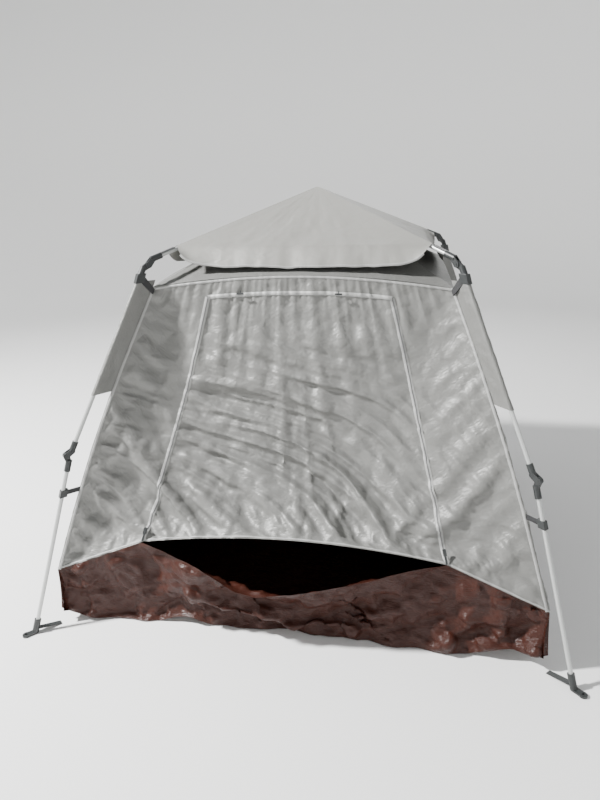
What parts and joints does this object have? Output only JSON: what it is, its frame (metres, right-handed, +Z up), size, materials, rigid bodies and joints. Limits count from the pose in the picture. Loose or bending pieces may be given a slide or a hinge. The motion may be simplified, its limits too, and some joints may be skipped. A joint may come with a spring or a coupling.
{
  "type": "privacy shower tent",
  "caption": "Square instant pop-up shelter: external folding leg frame on a central hub, hung cabin with canopy, zipped front door and bathtub floor.",
  "frame": {"origin": "on the ground under the hub, midway between the four feet", "axes": "+Z up, the zipped door faces -Y, +X to the right seen from the front"},
  "size_m": [2.1754, 2.1754, 1.719],
  "materials": {
    "tube": "satin grey tube",
    "hub_plastic": "moulded black",
    "joint_plastic": "moulded black",
    "rivet_steel": "plain steel",
    "canopy_cloth": "silver-white coated polyester",
    "wall_cloth": "silver coated polyester",
    "floor_cloth": "dark brown coated polyester",
    "flap_cloth": "silver coated polyester and black webbing",
    "foot_plastic": "moulded black",
    "zip_metal": "black",
    "toggle_plastic": "black"
  },
  "bodies": {
    "hub": {"hub_body": "hub_plastic", "hub_cap": "hub_plastic", "hub_pins": "rivet_steel"},
    "arm_fl": {"roof_pole_fl": "tube", "elbow_upper_fl": "joint_plastic"},
    "upper_fl": {"elbow_lower_fl": "joint_plastic", "upper_leg_fl": "tube", "knee_upper_fl": "joint_plastic", "corner_flap_fl": "flap_cloth"},
    "lower_fl": {"knee_lower_fl": "joint_plastic", "lower_leg_fl": "tube", "foot_fl": "foot_plastic"},
    "arm_fr": {"roof_pole_fr": "tube", "elbow_upper_fr": "joint_plastic"},
    "upper_fr": {"elbow_lower_fr": "joint_plastic", "upper_leg_fr": "tube", "knee_upper_fr": "joint_plastic", "corner_flap_fr": "flap_cloth"},
    "lower_fr": {"knee_lower_fr": "joint_plastic", "lower_leg_fr": "tube", "foot_fr": "foot_plastic"},
    "arm_bl": {"roof_pole_bl": "tube", "elbow_upper_bl": "joint_plastic"},
    "upper_bl": {"elbow_lower_bl": "joint_plastic", "upper_leg_bl": "tube", "knee_upper_bl": "joint_plastic", "corner_flap_bl": "flap_cloth"},
    "lower_bl": {"knee_lower_bl": "joint_plastic", "lower_leg_bl": "tube", "foot_bl": "foot_plastic"},
    "arm_br": {"roof_pole_br": "tube", "elbow_upper_br": "joint_plastic"},
    "upper_br": {"elbow_lower_br": "joint_plastic", "upper_leg_br": "tube", "knee_upper_br": "joint_plastic", "corner_flap_br": "flap_cloth"},
    "lower_br": {"knee_lower_br": "joint_plastic", "lower_leg_br": "tube", "foot_br": "foot_plastic"},
    "roof_side_front": {"roof_front": "canopy_cloth"},
    "wall_side_front": {"wall_front": "wall_cloth", "skirt_front": "floor_cloth", "door_toggles": "toggle_plastic"},
    "floor_side_front": {"floor_front": "floor_cloth"},
    "roof_side_right": {"roof_right": "canopy_cloth"},
    "wall_side_right": {"wall_right": "wall_cloth", "skirt_right": "floor_cloth"},
    "floor_side_right": {"floor_right": "floor_cloth"},
    "roof_side_back": {"roof_back": "canopy_cloth"},
    "wall_side_back": {"wall_back": "wall_cloth", "skirt_back": "floor_cloth"},
    "floor_side_back": {"floor_back": "floor_cloth"},
    "roof_side_left": {"roof_left": "canopy_cloth"},
    "wall_side_left": {"wall_left": "wall_cloth", "skirt_left": "floor_cloth"},
    "floor_side_left": {"floor_left": "floor_cloth"},
    "door": {"door_panel": "wall_cloth"},
    "zip_left": {"zip_slider_left": "zip_metal"},
    "zip_right": {"zip_slider_right": "zip_metal"}
  },
  "joints": [
    {"name": "fold", "type": "hinge", "parent": "hub", "child": "arm_fl", "pos_m": [-0.04384, -0.04384, 1.68994], "axis": [-0.7071, 0.7071, 0], "range_deg": [0, 107], "deforming": ["roof_front", "wall_front", "skirt_front", "floor_front", "roof_right", "wall_right", "skirt_right", "floor_right", "roof_back", "wall_back", "skirt_back", "floor_back", "roof_left", "wall_left", "skirt_left", "floor_left", "door_panel", "corner_flap_fl", "corner_flap_fr", "corner_flap_bl", "corner_flap_br"]},
    {"name": "elbow_fl", "type": "hinge", "parent": "arm_fl", "child": "upper_fl", "pos_m": [-0.59067, -0.59067, 1.43782], "axis": [-0.7071, 0.7071, 0], "range_deg": [-128.61, 0]},
    {"name": "knee_fl", "type": "hinge", "parent": "upper_fl", "child": "lower_fl", "pos_m": [-0.88617, -0.88617, 0.73399], "axis": [-0.7071, 0.7071, 0], "range_deg": [0, 186]},
    {"name": "arm_fr", "type": "hinge", "parent": "hub", "child": "arm_fr", "pos_m": [0.04384, -0.04384, 1.68994], "axis": [-0.7071, -0.7071, 0], "range_deg": [0, 107.01]},
    {"name": "elbow_fr", "type": "hinge", "parent": "arm_fr", "child": "upper_fr", "pos_m": [0.59067, -0.59067, 1.43782], "axis": [-0.7071, -0.7071, 0], "range_deg": [-128.61, 0]},
    {"name": "knee_fr", "type": "hinge", "parent": "upper_fr", "child": "lower_fr", "pos_m": [0.88617, -0.88617, 0.73399], "axis": [-0.7071, -0.7071, 0], "range_deg": [0, 186]},
    {"name": "arm_bl", "type": "hinge", "parent": "hub", "child": "arm_bl", "pos_m": [-0.04384, 0.04384, 1.68994], "axis": [0.7071, 0.7071, 0], "range_deg": [0, 107.01]},
    {"name": "elbow_bl", "type": "hinge", "parent": "arm_bl", "child": "upper_bl", "pos_m": [-0.59067, 0.59067, 1.43782], "axis": [0.7071, 0.7071, 0], "range_deg": [-128.61, 0]},
    {"name": "knee_bl", "type": "hinge", "parent": "upper_bl", "child": "lower_bl", "pos_m": [-0.88617, 0.88617, 0.73399], "axis": [0.7071, 0.7071, 0], "range_deg": [0, 186]},
    {"name": "arm_br", "type": "hinge", "parent": "hub", "child": "arm_br", "pos_m": [0.04384, 0.04384, 1.68994], "axis": [0.7071, -0.7071, 0], "range_deg": [0, 107.01]},
    {"name": "elbow_br", "type": "hinge", "parent": "arm_br", "child": "upper_br", "pos_m": [0.59067, 0.59067, 1.43782], "axis": [0.7071, -0.7071, 0], "range_deg": [-128.61, 0]},
    {"name": "knee_br", "type": "hinge", "parent": "upper_br", "child": "lower_br", "pos_m": [0.88617, 0.88617, 0.73399], "axis": [0.7071, -0.7071, 0], "range_deg": [0, 186]},
    {"name": "roof_front_fold", "type": "hinge", "parent": "hub", "child": "roof_side_front", "pos_m": [0, -0.04384, 1.68994], "axis": [-1, 0, 0], "range_deg": [0, 113.39]},
    {"name": "wall_front_fold", "type": "hinge", "parent": "roof_side_front", "child": "wall_side_front", "pos_m": [0, -0.585, 1.35], "axis": [-1, 0, 0], "range_deg": [-132.17, 0]},
    {"name": "floor_front_fold", "type": "hinge", "parent": "wall_side_front", "child": "floor_side_front", "pos_m": [0, -0.975, 0], "axis": [-1, 0, 0], "range_deg": [-71.23, 0]},
    {"name": "roof_right_fold", "type": "hinge", "parent": "hub", "child": "roof_side_right", "pos_m": [0.04384, 0, 1.68994], "axis": [0, -1, 0], "range_deg": [0, 113.39]},
    {"name": "wall_right_fold", "type": "hinge", "parent": "roof_side_right", "child": "wall_side_right", "pos_m": [0.585, 0, 1.35], "axis": [0, -1, 0], "range_deg": [-132.17, 0]},
    {"name": "floor_right_fold", "type": "hinge", "parent": "wall_side_right", "child": "floor_side_right", "pos_m": [0.975, 0, 0], "axis": [0, -1, 0], "range_deg": [-71.23, 0]},
    {"name": "roof_back_fold", "type": "hinge", "parent": "hub", "child": "roof_side_back", "pos_m": [0, 0.04384, 1.68994], "axis": [1, 0, 0], "range_deg": [0, 113.39]},
    {"name": "wall_back_fold", "type": "hinge", "parent": "roof_side_back", "child": "wall_side_back", "pos_m": [0, 0.585, 1.35], "axis": [1, 0, 0], "range_deg": [-132.17, 0]},
    {"name": "floor_back_fold", "type": "hinge", "parent": "wall_side_back", "child": "floor_side_back", "pos_m": [0, 0.975, 0], "axis": [1, 0, 0], "range_deg": [-71.23, 0]},
    {"name": "roof_left_fold", "type": "hinge", "parent": "hub", "child": "roof_side_left", "pos_m": [-0.04384, 0, 1.68994], "axis": [0, 1, 0], "range_deg": [0, 113.39]},
    {"name": "wall_left_fold", "type": "hinge", "parent": "roof_side_left", "child": "wall_side_left", "pos_m": [-0.585, 0, 1.35], "axis": [0, 1, 0], "range_deg": [-132.17, 0]},
    {"name": "floor_left_fold", "type": "hinge", "parent": "wall_side_left", "child": "floor_side_left", "pos_m": [-0.975, 0, 0], "axis": [0, 1, 0], "range_deg": [-71.23, 0]},
    {"name": "door_flap", "type": "hinge", "parent": "wall_side_front", "child": "door", "pos_m": [0, -0.5986, 1.31], "axis": [-1, 0, 0], "range_deg": [0, 120]},
    {"name": "zip_left_slide", "type": "slide", "parent": "wall_side_front", "child": "zip_left", "axis": [0.2339, 0.313, 0.9205], "range_m": [0, 0.935]},
    {"name": "zip_right_slide", "type": "slide", "parent": "wall_side_front", "child": "zip_right", "axis": [-0.2339, 0.313, 0.9205], "range_m": [0, 0.935]}
  ],
  "couplings": [
    {"joint": "elbow_fl", "follows": "fold", "ratio": -1.2019},
    {"joint": "arm_fr", "follows": "fold", "ratio": 1},
    {"joint": "elbow_fr", "follows": "fold", "ratio": -1.2019},
    {"joint": "arm_bl", "follows": "fold", "ratio": 1},
    {"joint": "elbow_bl", "follows": "fold", "ratio": -1.2019},
    {"joint": "arm_br", "follows": "fold", "ratio": 1},
    {"joint": "elbow_br", "follows": "fold", "ratio": -1.2019},
    {"joint": "roof_front_fold", "follows": "fold", "ratio": 1.0596},
    {"joint": "wall_front_fold", "follows": "fold", "ratio": -1.2351},
    {"joint": "floor_front_fold", "follows": "fold", "ratio": -0.66563},
    {"joint": "roof_right_fold", "follows": "fold", "ratio": 1.0596},
    {"joint": "wall_right_fold", "follows": "fold", "ratio": -1.2351},
    {"joint": "floor_right_fold", "follows": "fold", "ratio": -0.66563},
    {"joint": "roof_back_fold", "follows": "fold", "ratio": 1.0596},
    {"joint": "wall_back_fold", "follows": "fold", "ratio": -1.2351},
    {"joint": "floor_back_fold", "follows": "fold", "ratio": -0.66563},
    {"joint": "roof_left_fold", "follows": "fold", "ratio": 1.0596},
    {"joint": "wall_left_fold", "follows": "fold", "ratio": -1.2351},
    {"joint": "floor_left_fold", "follows": "fold", "ratio": -0.66563}
  ]
}
